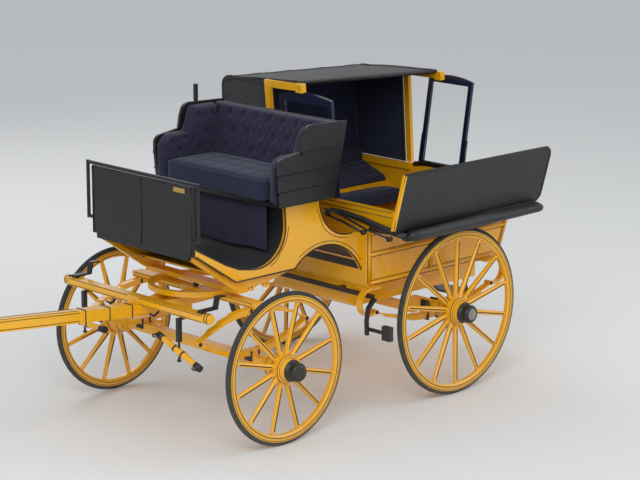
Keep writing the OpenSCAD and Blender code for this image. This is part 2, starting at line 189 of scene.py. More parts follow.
# %% One function for all finishes
def finish_of(name, colour, rough, change=0.08, patch=3.0, dust=0.15, dust_height=0.7, coat=0.0,
              metal=0.0, relief=None, threads=None, sheen=0.0):
    """A material: relief is (scale, strength, distance, cells, stretch), threads (count, strength)."""
    material = bpy.data.materials.new(name)
    material.use_nodes = True
    tree = material.node_tree
    surface = tree.nodes["Principled BSDF"]
    tones = add(tree, "ShaderNodeGroup",
                {"Colour": (*colour, 1), "Change": change, "Patch": patch, "Dust": dust,
                 "Dust height": dust_height}, node_tree=tone)
    dull = add(tree, "ShaderNodeMapRange",
               {0: tones.outputs["Mask"], 1: 0.0, 2: 1.0, 3: rough, 4: min(1, rough + 0.5)})
    fill(tree, surface, {"Base Color": tones.outputs["Colour"], "Roughness": dull.outputs[0],
                         "Metallic": metal, "Coat Weight": coat, "Coat Roughness": 0.12,
                         "Sheen Weight": sheen})
    if relief:
        labels = ("Scale", "Strength", "Distance", "Cells", "Stretch")
        skin = add(tree, "ShaderNodeGroup", zip(labels, relief), node_tree=grain)
        fill(tree, surface, {"Normal": skin.outputs["Normal"]})
    if threads:
        cloth = add(tree, "ShaderNodeGroup", zip(("Threads", "Strength"), threads), node_tree=weave)
        fill(tree, surface, {"Normal": cloth.outputs["Normal"]})
    return material


EVEN = (1, 1, 1)
YELLOW = finish_of("yellow coach enamel", (0.88, 0.43, 0.004), 0.26, 0.05, 2.2, 0.22, 0.75, coat=0.5,
                   relief=(60, 0.06, 0.002, 0.0, (1, 1, 0.3)))
LINING = finish_of("black lining paint", (0.012, 0.012, 0.013), 0.35, 0.05, dust=0.1)
IRON = finish_of("black painted iron", (0.010, 0.010, 0.011), 0.38, 0.2, 9, 0.25, 0.8,
                 relief=(180, 0.12, 0.001, 0.0, EVEN))
HIDE = finish_of("black coach leather", (0.007, 0.007, 0.008), 0.40, 0.18, 5, 0.1, 1.4,
                 relief=(330, 0.22, 0.0012, 1.0, EVEN))
HOOD = finish_of("grey black hood leather", (0.013, 0.0135, 0.015), 0.48, 0.25, 4, 0.1, 1.4,
                 relief=(420, 0.2, 0.001, 1.0, EVEN))
NAVY = finish_of("navy enamel", (0.007, 0.011, 0.040), 0.3, 0.08, coat=0.4,
                 relief=(60, 0.04, 0.001, 0.0, EVEN))
CLOTH = finish_of("navy wool cloth", (0.0135, 0.0115, 0.040), 0.88, 0.16, 7, 0.04, 0.7,
                  threads=(2400, 0.3), sheen=0.12)
COOL = finish_of("blue cushion cloth", (0.009, 0.014, 0.046), 0.88, 0.16, 7, 0.04, 0.7,
                 threads=(2400, 0.3), sheen=0.12)
RUBBER = finish_of("tyre rubber", (0.022, 0.023, 0.026), 0.75, 0.15, 6, 0.35, 1.0,
                   relief=(140, 0.2, 0.001, 0.0, EVEN))
MAT = finish_of("ribbed floor mat", (0.012, 0.014, 0.018), 0.7, 0.15, 5, 0.2, 1.3,
                relief=(90, 0.3, 0.002, 0.0, (0.2, 4, 1)))
STEEL = finish_of("bright steel", (0.55, 0.55, 0.54), 0.32, 0.1, metal=1.0,
                  relief=(200, 0.08, 0.0005, 0.0, EVEN))
BRASS = finish_of("old brass", (0.62, 0.42, 0.14), 0.35, 0.15, 20, metal=1.0,
                  relief=(160, 0.1, 0.0005, 0.0, EVEN))
NICKEL = finish_of("grey hub metal", (0.30, 0.29, 0.27), 0.45, 0.15, 20, metal=0.7,
                   relief=(160, 0.1, 0.0005, 0.0, EVEN))

PANE = bpy.data.materials.new("window glass")
PANE.use_nodes = True
fill(PANE.node_tree, PANE.node_tree.nodes["Principled BSDF"],
     {"Transmission Weight": 1.0, "Base Color": (0.93, 0.96, 0.95, 1), "Roughness": 0.03,
      "IOR": 1.02})
print("finishes:", len(bpy.data.materials))

# %% Finishes on the CAD nodes, by their material slot
SLOTS = {"yellow_paint": YELLOW, "yellow_wood": YELLOW, "black_iron": IRON, "black_leather": HIDE,
         "navy_paint": NAVY, "navy_cloth": CLOTH, "tyre_rubber": RUBBER, "mat": MAT,
         "bright_metal": STEEL}
for entry in frame["record"]["subparts"]:
    node = frame["nodes"][entry["node"]]
    for i in range(max(1, len(node.material_slots))):
        if len(node.material_slots) == 0:
            node.data.materials.append(SLOTS[entry["material_slot"]])
        else:
            node.material_slots[i].material = SLOTS[entry["material_slot"]]
print("CAD nodes finished")

# %% [markdown]
# ## Mesh helpers
# A finished piece keeps its place in its mesh, so its object stays at the origin. These few
# functions make grids, boxes and tubes from points, which is all that most of the pieces need.


# %% Make a piece
def linked(name, mesh):
    """An object for a mesh, at the origin of the scene."""
    obj = bpy.data.objects.new(name, mesh)
    scene.collection.objects.link(obj)
    return obj


def piece(name, verts, faces, material, body="body", smooth=True):
    """A closed mesh piece at the origin that rides on a body."""
    mesh = bpy.data.meshes.new(name)
    mesh.from_pydata([tuple(v) for v in verts], [], faces)
    work = bmesh.new()
    work.from_mesh(mesh)
    bmesh.ops.remove_doubles(work, verts=work.verts, dist=1e-6)
    bmesh.ops.recalc_face_normals(work, faces=work.faces)
    work.to_mesh(mesh)
    work.free()
    mesh.materials.append(material)
    if smooth:
        mesh.shade_smooth()
    obj = linked(name, mesh)
    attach(obj, body)
    return obj


def grid(cols, rows):
    """The quads of a grid of points, row by row, and its rim in order."""
    wide = cols + 1
    quads = [(j * wide + i, j * wide + i + 1, (j + 1) * wide + i + 1, (j + 1) * wide + i)
             for j in range(rows) for i in range(cols)]
    rim = ([i for i in range(cols)] + [j * wide + cols for j in range(rows)] +
           [rows * wide + i for i in range(cols, 0, -1)] + [j * wide for j in range(rows, 0, -1)])
    return quads, rim


def two_layers(cols, rows):
    """The faces of a closed sheet: two grids of points joined round their rim."""
    quads, rim = grid(cols, rows)
    n = (rows + 1) * (cols + 1)
    return (quads + [tuple(n + k for k in q)[::-1] for q in quads] +
            [(b, a, n + a, n + b) for a, b in zip(rim, rim[1:] + rim[:1])])


class Pile:
    """Collects simple solids that become one piece."""

    def __init__(self):
        self.verts, self.faces = [], []

    def solid(self, rings, closed=False):
        """Skins rings of points, with end caps unless the rings close on themselves."""
        start, n = len(self.verts), len(rings[0])
        for ring in rings:
            self.verts.extend(ring)
        count = len(rings)
        for i in range(count if closed else count - 1):
            a, b = start + i * n, start + (i + 1) % count * n
            for j in range(n):
                k = (j + 1) % n
                self.faces.append((a + j, a + k, b + k, b + j))
        if not closed:
            self.faces.append(tuple(range(start, start + n))[::-1])
            self.faces.append(tuple(range(start + (count - 1) * n, start + count * n)))
        return self

    def box(self, lo, hi):
        """An upright box in drawing coordinates."""
        (a, b, c), (d, e, f) = lo, hi
        ring = [(a, b), (d, b), (d, e), (a, e)]
        return self.solid([[at(x, y, z) for x, y in ring] for z in (c, f)])

    def tube(self, points, radius, sides=8, flat=None, closed=False):
        """A round or flat strip through points; flat is (half width, half thickness, up)."""
        points = [Vector(p) for p in points]
        rings, side = [], None
        for i, p in enumerate(points):
            before = points[i - 1] if (i or closed) else p
            after = points[(i + 1) % len(points)] if (i < len(points) - 1 or closed) else p
            along = (after - before).normalized()
            if flat:
                up = Vector(flat[2])
                side = along.cross(up).normalized()
                up = side.cross(along).normalized()
                w, t = flat[0], flat[1]
                rings.append([p + side * a * w + up * b * t
                              for a, b in ((-1, -1), (1, -1), (1, 1), (-1, 1))])
                continue
            if side is None:
                side = along.orthogonal().normalized()
            side = (side - along * side.dot(along)).normalized()
            up = along.cross(side)
            rings.append([p + (side * math.cos(a) + up * math.sin(a)) * radius
                          for a in (2 * math.pi * j / sides for j in range(sides))])
        return self.solid(rings, closed)

    def make(self, name, material, body="body", slot="black_iron", smooth=True):
        return piece(name, self.verts, self.faces, material, body, smooth)


def arc(cx, cz, r, a0, a1, n=16):
    """Points (x, z) of an arc, in degrees."""
    return [(cx + r * math.cos(math.radians(a0 + (a1 - a0) * i / n)),
             cz + r * math.sin(math.radians(a0 + (a1 - a0) * i / n))) for i in range(n + 1)]


print("helpers ready")

# %% [markdown]
# ## Tufted padding
# The squabs are horsehair under cloth, drawn down by buttons in a diamond pattern. Each squab is a
# fine grid whose height drops to the board at each button and pinches along the pleats between
# them. It is closed at the back, so it is one stuffed solid.


# %% Tufted squab
def squab(name, corner, along, up, out, width, height, thick, rows, cols, node, slim=None):
    """A padded sheet from its corner: along and up are unit vectors in it, out is its face."""
    nu, nv = max(24, int(width / 0.010)), max(16, int(height / 0.010))
    along, up, out = Vector(along).normalized(), Vector(up).normalized(), Vector(out).normalized()
    buttons = [((c + (0.5 if r % 2 else 0)) / cols * width, (r + 0.5) / rows * height)
               for r in range(rows) for c in range(cols + 1)]
    buttons = [b for b in buttons if 0.04 < b[0] < width - 0.04]
    pu, pv = width / cols, height / rows
    verts = []
    for j in range(nv + 1):
        for i in range(nu + 1):
            u, v = width * i / nu, height * j / nv
            top = slim(u) if slim else 1.0
            edge = min(u, width - u, v, height - v) / 0.035
            round_edge = math.sqrt(max(0.0, 1 - (1 - min(1, edge)) ** 2))
            a = (u / pu + v / pv / 2 + 0.25) % 1.0
            b = (u / pu - v / pv / 2 - 0.25) % 1.0
            pleat = min(0.5 - abs(a - 0.5), 0.5 - abs(b - 0.5)) * min(pu, pv)
            crease = math.exp(-(pleat / 0.016) ** 2)
            hole = sum(math.exp(-((u - x) ** 2 + (v - y) ** 2) / 0.026 ** 2) for x, y in buttons)
            lift = thick * (0.30 + 0.70 * round_edge * (1 - 0.13 * crease) * (1 - 0.42 * min(1, hole)))
            verts.append(at(*corner) + along * u + up * v * top + out * lift)
    n = len(verts)
    faces, rim = grid(nu, nv)
    back = []
    for k in rim:
        u, v = width * (k % (nu + 1)) / nu, height * (k // (nu + 1)) / nv
        back.append(at(*corner) + along * u + up * v * (slim(u) if slim else 1.0))
    verts += back
    for k in range(len(rim)):
        m = (k + 1) % len(rim)
        faces.append((rim[k], rim[m], n + m, n + k))
    faces.append(tuple(range(n, n + len(rim))))
    obj = piece(name, verts, faces, CLOTH, "body")
    if node:
        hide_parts(node)
    dots = [at(*corner) + along * x + up * y * (slim(x) if slim else 1.0) + out * thick * 0.70
            for x, y in buttons]
    return obj, dots, out


seat_dots = []
back_low, back_top = (0.874, 0.0, 1.388), (0.788, 0.0, 1.816)
lean_up = Vector((back_top[0] - back_low[0], 0, back_top[2] - back_low[2]))
_, dots, face = squab("driver_back_squab", (0.873, -0.54, 1.388), (0, 1, 0), lean_up, (1, 0, 0.2), 1.08,
                      0.436, 0.088, 4, 9, "driver_squab")
seat_dots += [(d, face) for d in dots]


def arm_top(u):
    """How tall an arm squab is along its length, stepping down towards the front."""
    if u < 0.18:
        return 1.0
    if u < 0.26:
        return 1.0 - 0.35 * (0.5 - 0.5 * math.cos(math.pi * (u - 0.18) / 0.08))
    return 0.65 - 0.16 * max(0, (u - 0.36) / 0.09) ** 2


for side, s in (("left", 1), ("right", -1)):
    _, dots, face = squab(f"driver_{side}_arm_squab", (0.88, s * 0.543, 1.388), (1, 0, 0), (0, 0, 1),
                          (0, -s, 0), 0.45, 0.43, 0.085, 4, 4, "driver_squab", arm_top)
    seat_dots += [(d, face) for d in dots]
print("driver's squabs made, buttons:", len(seat_dots))

# %% Bench squabs behind the passengers
for side, s in (("left", 1), ("right", -1)):
    _, dots, face = squab(f"bench_{side}_squab", (-0.655, s * 0.722, 1.19), (1, 0, 0),
                          (0, 0, 1), (0, -s, 0), 1.14, 0.105, 0.034, 1, 9, "bench_squabs")
    seat_dots += [(d, face) for d in dots]
    _, dots, face = squab(f"bench_{side}_back", (-0.655, s * 0.476, 1.102), (1, 0, 0),
                          (0, s * 0.24, 0.095), (0, -s * 0.1, 1), 1.14, 0.235, 0.04, 2, 9, None)
    seat_dots += [(d, face) for d in dots]

# %% [markdown]
# ## Seat cushions
# A box cushion is crowned on top, with its sides drawn in between the corners and a piped seam round
# its upper and lower edges. It starts as a rounded box of many faces, and the crown, the belly and
# the stitched squares are added as smooth moves of its points.


# %% Box cushion
def cushion(name, lo, hi, crown, squares, nodes=(), corner=0.035, power=5.0):
    """A stuffed box cushion between two corners of the drawing, quilted in squares (nx, ny)."""
    mid = [(a + b) / 2 for a, b in zip(lo, hi)]
    half = [(b - a) / 2 for a, b in zip(lo, hi)]
    n = 96
    work = bmesh.new()
    bmesh.ops.create_cube(work, size=2.0)
    bmesh.ops.subdivide_edges(work, edges=work.edges, cuts=n // 2, use_grid_fill=True)
    for v in work.verts:
        x, y, z = v.co
        keep = [max(0.0, 1 - (corner / h)) for h in half]
        core = Vector([max(-k, min(k, c)) for k, c in zip(keep, (x, y, z))])
        off = Vector([(c - k) * h for c, k, h in zip((x, y, z), core, half)])
        if off.length > 1e-9:
            reach = max(abs(o) for o in off)
            off = off.normalized() * reach
        p = Vector([k * h for k, h in zip(core, half)]) + off
        dome = (1 - abs(x) ** power) * (1 - abs(y) ** power)
        if z > 0:
            p.z += (crown * dome - crown) * max(0, z)
            for axis, count, size in ((0, squares[0], half[0]), (1, squares[1], half[1])):
                if count > 1:
                    f = ((x, y)[axis] + 1) / 2 * count
                    near_seam = abs(f - round(f)) * 2 * size / count
                    if 0 < round(f) < count:
                        p.z -= 0.006 * math.exp(-(near_seam / 0.009) ** 2) * max(0, z) * dome
        pull = 0.012 * (1 - min(1, abs(z) * 1.2) ** 2)
        for axis in (0, 1):
            if abs((x, y)[axis]) > 0.98:
                p[axis] -= math.copysign(pull * 0.5, (x, y)[axis])
        v.co = at(mid[0] + p.x, mid[1] + p.y, mid[2] + p.z)
    mesh = bpy.data.meshes.new(name)
    work.to_mesh(mesh)
    work.free()
    mesh.materials.append(COOL)
    mesh.shade_smooth()
    obj = linked(name, mesh)
    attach(obj, "body")
    if nodes:
        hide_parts(*nodes)
    piping = Pile()
    x0, y0, x1, y1 = lo[0] + 0.006, lo[1] + 0.006, hi[0] - 0.006, hi[1] - 0.006
    for z in (lo[2] + 0.018, hi[2] - crown - 0.012):
        loop = []
        for cx, cy, a in ((x1 - corner, y1 - corner, 0), (x0 + corner, y1 - corner, 90),
                          (x0 + corner, y0 + corner, 180), (x1 - corner, y0 + corner, 270)):
            loop += [at(px, py, z) for px, py in arc(cx, cy, corner, a, a + 90, 5)]
        piping.tube(loop, 0.0055, 8, closed=True)
    piping.make(name + "_piping", COOL, "body", "navy_cloth")


cushion("driver_seat_cushion", (0.958, -0.445, 1.387), (1.352, 0.445, 1.543), 0.022, (3, 7),
        ("driver_cushion",))
for side, s in (("left", 1), ("right", -1)):
    a, b = sorted((s * 0.30, s * 0.47))
    cushion(f"bench_{side}_cushion", (-0.66, a, 0.98), (0.49, b, 1.087), 0.02, (8, 1),
            ("bench_cushions",))
print("cushions made")

# %% [markdown]
# ## Seat fall
# A cloth apron hangs from the front of the driving cushion down over the boot. A hanging sheet
# has folds that deepen towards its free edge. A grid with waves that grow downwards gives that.

# %% Seat fall
fall_top, fall_low, fall_half = 1.372, 1.072, 0.388
cols, rows, thick = 120, 40, 0.004
grids = []
for layer in (0, 1):
    for j in range(rows + 1):
        t = j / rows
        z = fall_top + (fall_low - fall_top) * t
        base = 1.266 + 0.004 * t
        for i in range(cols + 1):
            u = i / cols
            y = -fall_half + 2 * fall_half * u
            wave = 0.0045 * t * (math.sin(u * 11.0 + 0.7) + 0.4 * math.sin(u * 27.0 + 2.1))
            hem = 0.002 if abs(t - 0.84) > 0.014 else -0.002
            grids.append(at(base + wave + hem + thick * layer, y, z + 0.006 * t * math.sin(u * 9)))
fall = piece("seat_apron", grids, two_layers(cols, rows), CLOTH, "body")
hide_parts("seat_fall")
print("seat fall made")

# %% [markdown]
# ## Buttons
# Covered buttons sit in every tuft. Geometry Nodes put one flattened ball on each point of a bare
# point mesh and turn it to the point's stored direction, so one small tree makes them all.


# %% Tree that sets a stud on every point
def stud_tree(name, material):
    """Inputs: the points, Size and Flatness. Each point carries a vector attribute called aim."""
    tree = bpy.data.node_groups.new(name, "GeometryNodeTree")
    tree.interface.new_socket("Geometry", in_out="INPUT", socket_type="NodeSocketGeometry")
    size = tree.interface.new_socket("Size", in_out="INPUT", socket_type="NodeSocketFloat")
    flatness = tree.interface.new_socket("Flatness", in_out="INPUT", socket_type="NodeSocketFloat")
    tree.interface.new_socket("Geometry", in_out="OUTPUT", socket_type="NodeSocketGeometry")
    given = tree.nodes.new("NodeGroupInput").outputs
    ball = add(tree, "GeometryNodeMeshUVSphere",
               {"Segments": 10, "Rings": 6, "Radius": given["Size"]})
    press = add(tree, "ShaderNodeCombineXYZ", {"X": 1.0, "Y": 1.0, "Z": given["Flatness"]})
    flat = add(tree, "GeometryNodeTransform",
               {"Geometry": ball.outputs["Mesh"], "Scale": press.outputs[0]})
    aim = add(tree, "GeometryNodeInputNamedAttribute", {"Name": "aim"}, data_type="FLOAT_VECTOR")
    turn = add(tree, "FunctionNodeAlignRotationToVector", {"Vector": aim.outputs["Attribute"]},
               axis="Z")
    put = add(tree, "GeometryNodeInstanceOnPoints",
              {"Points": given["Geometry"], "Instance": flat.outputs[0],
               "Rotation": turn.outputs[0]})
    real = add(tree, "GeometryNodeRealizeInstances", {"Geometry": put.outputs[0]})
    smooth = add(tree, "GeometryNodeSetShadeSmooth", {"Geometry": real.outputs[0]})
    paint = add(tree, "GeometryNodeSetMaterial",
                {"Geometry": smooth.outputs[0], "Material": material})
    add(tree, "NodeGroupOutput", {"Geometry": paint.outputs[0]})
    return tree, size.identifier, flatness.identifier


def converted(obj, name, body):
    """The evaluated object as a plain mesh piece on a body; the maker object goes."""
    evaluated = obj.evaluated_get(bpy.context.evaluated_depsgraph_get())
    mesh = bpy.data.meshes.new_from_object(evaluated)
    mesh.name = name
    bpy.data.objects.remove(obj)
    done = linked(name, mesh)
    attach(done, body)
    return done


def studs(name, points, size, flatness, material, body="body"):
    """Studs at (place, direction) pairs, as one piece."""
    tree, size_id, flat_id = stud_tree(name + " tree", material)
    mesh = bpy.data.meshes.new(name + " points")
    mesh.from_pydata([tuple(p) for p, _ in points], [], [])
    aim = mesh.attributes.new("aim", "FLOAT_VECTOR", "POINT")
    aim.data.foreach_set("vector", [c for _, d in points for c in d])
    maker = linked(name + " maker", mesh)
    modifier = maker.modifiers.new("studs", "NODES")
    modifier.node_group = tree
    modifier[size_id], modifier[flat_id] = size, flatness
    return converted(maker, name, body)


studs("seat_buttons", seat_dots, 0.0085, 0.55, CLOTH)
print("buttons:", len(seat_dots))

# %% [markdown]
# ## Wheels
# Coach wheels are lined: thin black bands on the felloe and one fine stripe down each spoke. The
# stripe is made once and a node tree turns copies of it round the axle. The nave has black bands
# and a cap.


# %% Tree that turns copies about an axle
def turned_tree(material):
    """Inputs: one part, Count, and the Centre of the axle along Y."""
    tree = bpy.data.node_groups.new("turned copies", "GeometryNodeTree")
    tree.interface.new_socket("Geometry", in_out="INPUT", socket_type="NodeSocketGeometry")
    count = tree.interface.new_socket("Count", in_out="INPUT", socket_type="NodeSocketInt")
    centre = tree.interface.new_socket("Centre", in_out="INPUT", socket_type="NodeSocketVector")
    tree.interface.new_socket("Geometry", in_out="OUTPUT", socket_type="NodeSocketGeometry")
    given = tree.nodes.new("NodeGroupInput").outputs
    line = add(tree, "GeometryNodeMeshLine", {"Count": given["Count"], "Offset": (0, 0, 0)})
    step = add(tree, "ShaderNodeMath", {0: 2 * math.pi, 1: given["Count"]}, operation="DIVIDE")
    index = add(tree, "GeometryNodeInputIndex")
    angle = times(tree, index.outputs[0], step.outputs[0])
    euler = add(tree, "ShaderNodeCombineXYZ", {"Y": angle})
    rotation = add(tree, "FunctionNodeEulerToRotation", {0: euler.outputs[0]})
    put = add(tree, "GeometryNodeInstanceOnPoints",
              {"Points": line.outputs[0], "Instance": given["Geometry"],
               "Rotation": rotation.outputs[0]})
    move = add(tree, "GeometryNodeTransform",
               {"Geometry": put.outputs[0], "Translation": given["Centre"]})
    real = add(tree, "GeometryNodeRealizeInstances", {"Geometry": move.outputs[0]})
    paint = add(tree, "GeometryNodeSetMaterial",
                {"Geometry": real.outputs[0], "Material": material})
    add(tree, "NodeGroupOutput", {"Geometry": paint.outputs[0]})
    return tree, count.identifier, centre.identifier


TURNED = turned_tree(LINING)


# %% A lathe along the axle, for caps and bands
def lathe(pile, centre, s, profile, sides=40):
    """Turns (radius, distance outwards) pairs about the axle through centre."""
    pile.solid([[centre + Vector((r * math.cos(a), s * d, r * math.sin(a)))
                 for a in (2 * math.pi * j / sides for j in range(sides))] for r, d in profile])


def ring(pile, centre, s, radius, distance, thick=0.0018, sides=6, steps=96):
    """A thin round line on a wheel's face."""
    pile.tube([centre + Vector((radius * math.cos(a), s * distance, radius * math.sin(a)))
               for a in (2 * math.pi * j / steps for j in range(steps))], thick, sides, closed=True)


WHEELS = {"front_left": (FRONT_AXLE_X, 1, 0.466, 12), "front_right": (FRONT_AXLE_X, -1, 0.466, 12),
          "rear_left": (0.0, 1, 0.540, 14), "rear_right": (0.0, -1, 0.540, 14)}
HALF_TRACK = 0.790
for label, (x, s, r, count) in WHEELS.items():
    centre, body = at(x, s * HALF_TRACK, r), label + "_wheel"
    stripe = Pile()
    phi = math.pi / count
    along = Vector((math.cos(phi), 0, math.sin(phi)))
    for face, start, end in ((1, 0.0052, 0.0120), (-1, 0.0335, 0.0150)):
        near_end = along * 0.115 + Vector((0, s * face * start, 0))
        far_end = along * (r - 0.085) + Vector((0, s * face * end, 0))
        stripe.tube([near_end, far_end], 0.004, flat=(0.0030, 0.0012, (0, s * face, 0)))
    mesh = bpy.data.meshes.new(label + " stripe")
    mesh.from_pydata([tuple(v) for v in stripe.verts], [], stripe.faces)
    maker = linked(label + " stripe maker", mesh)
    modifier = maker.modifiers.new("turned", "NODES")
    modifier.node_group = TURNED[0]
    modifier[TURNED[1]], modifier[TURNED[2]] = count, centre
    converted(maker, label + "_spoke_stripes", body)
    lines = Pile()
    for face in (1, -1):
        for inset, width in ((0.0315, 0.0016), (0.0500, 0.0022)):
            ring(lines, centre, s * face, r - inset, 0.0208 + (inset - 0.03) * 0.05, width)
    for radius, distance in ((0.0848, 0.022), (0.0848, -0.034), (0.0735, 0.028), (0.0705, -0.098)):
        ring(lines, centre, s, radius, distance, 0.0022, steps=48)
    lines.make(label + "_lining", LINING, body, "black_iron")
    cap = Pile()
    lathe(cap, centre, s, [(0.0655, 0.060), (0.068, 0.064), (0.064, 0.070), (0.054, 0.073),
                           (0.054, 0.108),
                           (0.057, 0.110), (0.057, 0.120), (0.052, 0.126), (0.049, 0.132)])
    cap.make(label + "_nave_cap", IRON, body, "black_iron")
    end = Pile()
    lathe(end, centre, s, [(0.036, 0.130), (0.036, 0.1345), (0.030, 0.1355)], 32)
    end.make(label + "_cap_end", NICKEL if label.startswith("rear") else IRON, body, "bright_metal")
print("wheels lined")

# %% [markdown]
# ## Body mouldings and lining
# Panels meet under half-round mouldings, each edged with a fine black line. Every run is a path of
# points on its panel, so one loop lays the yellow moulding and the black lines beside it.

# %% Mouldings on the lower body
moulding, edging = Pile(), Pile()
LOW_Y = 0.500
for s in (1, -1):
    runs = [[(-0.690, 0.752), (0.500, 0.752)], [(0.498, 0.752), (0.498, 1.075)],
            [(-0.770, 0.935), (0.498, 0.935)], [(-0.705, 0.752), (-0.83, 1.075)],
            [(-0.830, 1.072), (0.498, 1.072)], [(-0.06, 0.752), (-0.06, 0.935)]]
    for run in runs:
        moulding.tube([at(x, s * (LOW_Y + 0.002), z) for x, z in run], 0.009, 10)
        (x0, z0), (x1, z1) = run
        across = Vector((-(z1 - z0), x1 - x0)).normalized() * 0.016
        for side in (1, -1):
            edging.tube([at(x + across[0] * side, s * LOW_Y, z + across[1] * side) for x, z in run],
                        0.0022, 6)
moulding.make("body_mouldings", YELLOW, "body", "yellow_wood")

# %% Black lining of the wheel arch
ARCH_HALF = 0.437
arch_black = Pile()
arch_black.solid([[at(x, s * ARCH_HALF, z + dz)
                   for s, dz in ((-1, 0), (1, 0), (1, -0.0015), (-1, -0.0015))]
                  for x, z in arc(0.850, 0.700, 0.3535, 142, 55, 24)])
arch_black.box((0.531, -0.436, 0.842), (0.5335, 0.436, 1.00))
arch_black.make("arch_lining", LINING, "body", "black_iron", smooth=False)

# %% Beading round the boot
BOOT_Y = 0.4605
front_curve = [(1.184, 1.338)] + arc(1.400, 1.220, 0.224, 180, 270, 20)
front_curve += [(1.455, 1.000), (1.557, 1.018), (1.660, 1.062), (1.893, 1.190)]
arch_curve = [(0.533, 0.838)] + arc(0.850, 0.700, 0.350, 156, 44, 30)
rear_curve = arc(0.645, 1.340, 0.250, -98, -2, 20)
low_edge = [(1.104, 0.944), (1.580, 0.944), (1.893, 1.150)]
for s in (1, -1):
    for run in (front_curve, arch_curve, rear_curve, low_edge):
        edging.tube([at(x, s * BOOT_Y, z) for x, z in run], 0.0045, 8)
    inner = [(x + (0.850 - x) * -0.06, z + 0.022) for x, z in arch_curve[3:-3]]
    edging.tube([at(x, s * BOOT_Y, z) for x, z in inner], 0.0020, 6)
    inner = [(x + (1.400 - x) * -0.10, z - 0.02 * (z < 1.06)) for x, z in front_curve[1:17]]
    edging.tube([at(x, s * BOOT_Y, z) for x, z in inner], 0.0020, 6)
    inner = [(x + (x - 0.645) * 0.09, z - 0.022 * (z < 1.2)) for x, z in rear_curve[2:-2]]
    edging.tube([at(x, s * BOOT_Y, z) for x, z in inner], 0.0020, 6)

# %% Lining on the elbow rail, the cross bars of the forecarriage and the pole
for s in (1, -1):
    for z in (1.212, 1.243):
        edging.tube([at(x, s * 0.7835, z) for x in (-0.695, 0.526)], 0.0022, 6)
for z in (1.212, 1.243):
    edging.tube([at(0.5305, y, z) for y in (-0.72, 0.72)], 0.0022, 6)
edging.make("body_lining", LINING, "body", "black_iron")
gear_lines = Pile()
POLE_LINE = (2.42, 4.45)


def pole_height(x):
    """The height of the pole's middle line, which rises by 5.3 degrees."""
    return 0.757 + (x - 1.9) * math.tan(math.radians(5.3))


for s in (1, -1):
    for dz in (-0.024, 0.024):
        gear_lines.tube([at(x, s * 0.0365, pole_height(x) + dz) for x in POLE_LINE], 0.0018, 6)
    for dz in (-0.018, 0.018):
        gear_lines.tube([at(1.9925, y, 0.8265 + dz) for y in (s * 0.05, s * 0.62)], 0.0018, 6)
        gear_lines.tube([at(1.5333, y, 0.807 + dz * 0.6) for y in (s * 0.1, s * 0.55)], 0.0018, 6)
for dy in (-0.026, 0.026):
    gear_lines.tube([at(x, dy, pole_height(x) + 0.0365) for x in POLE_LINE], 0.0018, 6)
gear_lines.make("gear_lining", LINING, "forecarriage", "black_iron")

# %% [markdown]
# ## Spring clips and eyes
# Each bundle of leaves is bound by clips and held to its axle by U bolts; the ends roll into eyes on
# a bolt. They repeat with the springs, so they are placed in loops.

# %% Clips and bolts
clips, rear_clips = Pile(), Pile()
for s in (1, -1):
    for z, h in ((0.500, 0.030), (0.784, 0.030)):
        low_z = z - h + (0.006 if z > 0.6 else -0.008)
        top_z = z + (0.006 if z > 0.6 else 0.024)
        for dx in (-0.030, 0.030):
            x = FRONT_AXLE_X + dx
            clips.box((x - 0.006, s * 0.505 - 0.030, low_z), (x + 0.006, s * 0.505 + 0.030, top_z))
    for x in (-0.43, 0.43):
        centre = at(FRONT_AXLE_X + x, s * 0.505, 0.642)
        lathe(clips, centre, 1, [(0.010, -0.031), (0.012, -0.029), (0.012, 0.029), (0.010, 0.031)], 12)
    for dx in (-0.045, 0.045):
        rear_clips.box((dx - 0.007, s * 0.555 - 0.032, 0.448), (dx + 0.007, s * 0.555 + 0.032, 0.574))
    for x in (-0.565, 0.505):
        centre = at(x, s * 0.555, 0.583)
        lathe(rear_clips, centre, 1,
              [(0.010, -0.030), (0.012, -0.028), (0.012, 0.028), (0.010, 0.030)], 12)
clips.make("front_spring_clips", IRON, "forecarriage")
rear_clips.make("rear_spring_clips", IRON, "body")

# %% [markdown]
# ## Swingletree fittings
# Each bar has black iron ferrules, a hook at each end and a strap about its middle.

# %% Ferrules, hooks and straps
for label, s, tilt in (("left", 1, -20), ("right", -1, -2)):
    pivot = at(2.012, s * 0.44, 0.600)
    turn = Matrix.Rotation(math.radians(tilt), 3, "X")
    irons = Pile()

    def on_bar(d, out=0.0, up=0.0):
        """A point on the bar: d along it from its pivot."""
        return pivot + turn @ Vector((out, d, up))

    for side in (1, -1):
        for d0, d1, r in ((0.150, 0.199, 0.021), (0.030, 0.042, 0.0225)):
            irons.tube([on_bar(side * d0), on_bar(side * d1)], r, 20)
        hook = [on_bar(side * 0.185 + 0.018 * math.cos(a) * side, 0.030 + 0.020 * math.sin(a), 0.004)
                for a in (math.radians(t) for t in range(-120, 150, 18))]
        irons.tube([on_bar(side * 0.176)] + hook, 0.005, 8)
    irons.make(f"{label}_swingletree_irons", IRON, f"{label}_swingletree")

# %% Splinter bar ends and pole straps
bar_irons = Pile()
for s in (1, -1):
    for d in (0.634, 0.655):
        bar_irons.tube([at(1.962, s * d, 0.8265), at(1.962, s * (d + 0.006), 0.8265)], 0.0315, 24)
    bar_irons.tube([at(1.962, s * 0.20, 0.803), at(1.962, s * 0.20, 0.785), at(2.00, s * 0.20, 0.765),
                    at(2.03, s * 0.20, 0.785)], 0.007, 8)
for x in (2.03, 2.20, 2.38):
    corners = ((-1, -1), (1, -1), (1, 1), (-1, 1))
    bar_irons.tube([at(x, 0.0415 * a, pole_height(x) + 0.0375 * b) for a, b in corners],
                   0.004, closed=True, sides=6)
bar_irons.make("splinter_bar_irons", IRON, "forecarriage")

